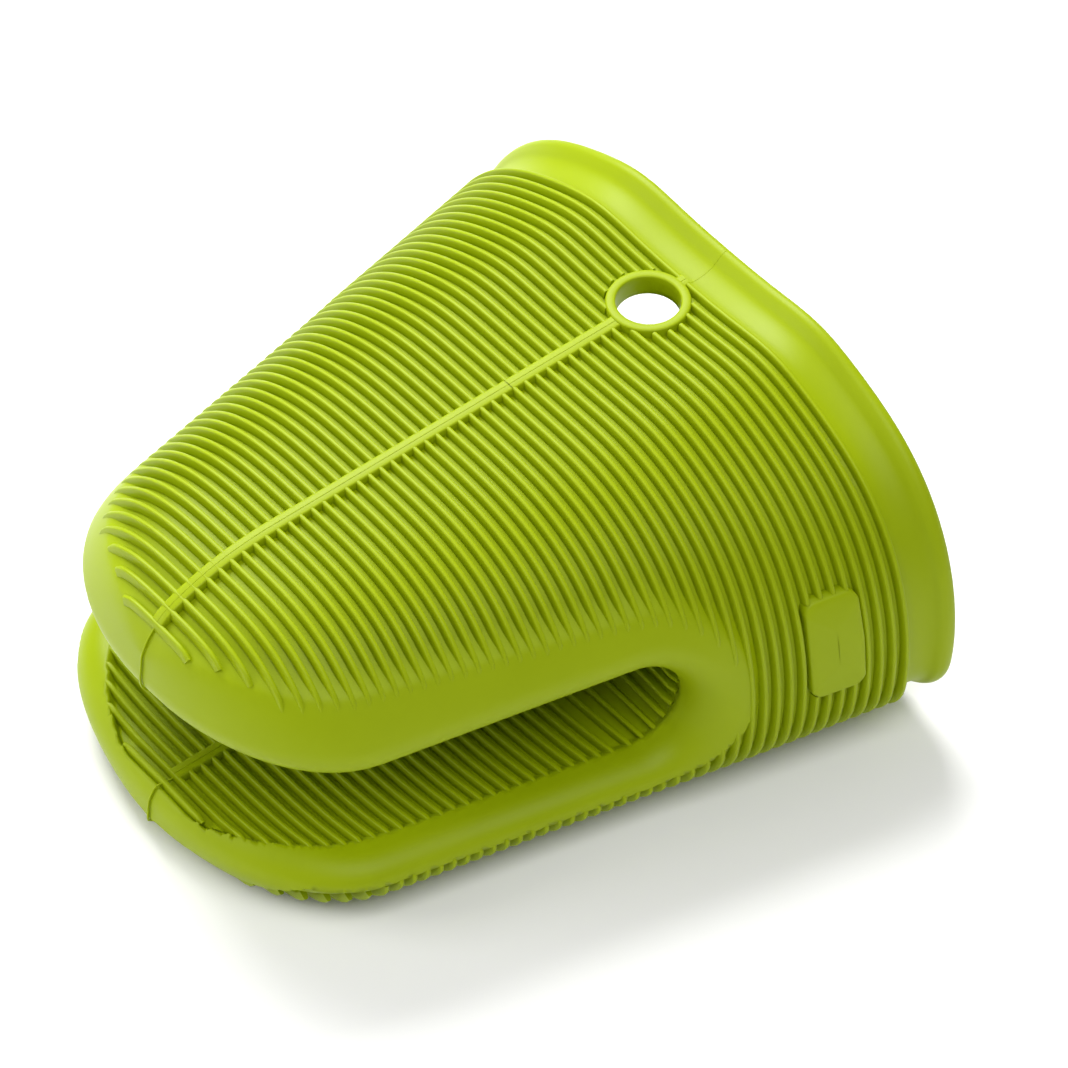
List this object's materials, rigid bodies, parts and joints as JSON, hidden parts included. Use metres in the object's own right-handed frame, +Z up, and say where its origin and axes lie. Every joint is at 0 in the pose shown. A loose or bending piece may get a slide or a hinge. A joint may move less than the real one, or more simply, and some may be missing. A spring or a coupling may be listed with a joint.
{
  "type": "silicone pinch grip mitt",
  "caption": "Ribbed silicone pot mitt with a finger pocket, a thumb pocket, a U-shaped mouth between them, a flared cuff and a hanging hole.",
  "frame": {"origin": "on the table under the middle of the mitt's outer box", "axes": "+X from the noses of the two pockets to the cuff, +Y across the hand, +Z up from the table, finger pocket on top"},
  "size_m": [0.1448, 0.1498, 0.0702],
  "materials": {
    "lime_silicone": "satin moulded silicone"
  },
  "bodies": {
    "sleeve": {"heel_shell": "lime_silicone", "heel_ribs": "lime_silicone", "mouth_web": "lime_silicone", "web_ribs": "lime_silicone", "near_cheek": "lime_silicone", "far_cheek": "lime_silicone", "sleeve_shell": "lime_silicone", "sleeve_ribs": "lime_silicone", "crown_spine": "lime_silicone", "sole_spine": "lime_silicone", "hanging_ring": "lime_silicone", "blank_plate": "lime_silicone", "cuff_band": "lime_silicone", "finger_flex": "lime_silicone", "finger_flex_ribs": "lime_silicone", "thumb_flex": "lime_silicone", "thumb_flex_ribs": "lime_silicone"},
    "finger_jaw": {"finger_pocket": "lime_silicone", "finger_ribs": "lime_silicone", "finger_spine": "lime_silicone", "finger_grip_ribs": "lime_silicone"},
    "thumb_jaw": {"thumb_pocket": "lime_silicone", "thumb_ribs": "lime_silicone", "thumb_spine": "lime_silicone", "thumb_grip_ribs": "lime_silicone"}
  },
  "joints": [
    {"name": "finger_bend", "type": "hinge", "parent": "sleeve", "child": "finger_jaw", "pos_m": [-0.0019, 0, 0.0278], "axis": [0, -1, 0], "range_deg": [-8, 7], "stiffness_Nm_per_rad": 0.6, "deforming": ["finger_flex", "finger_flex_ribs"]},
    {"name": "thumb_bend", "type": "hinge", "parent": "sleeve", "child": "thumb_jaw", "pos_m": [-0.0019, 0, 0.0278], "axis": [0, 1, 0], "range_deg": [-8, 7], "stiffness_Nm_per_rad": 0.6, "deforming": ["thumb_flex", "thumb_flex_ribs"]}
  ]
}
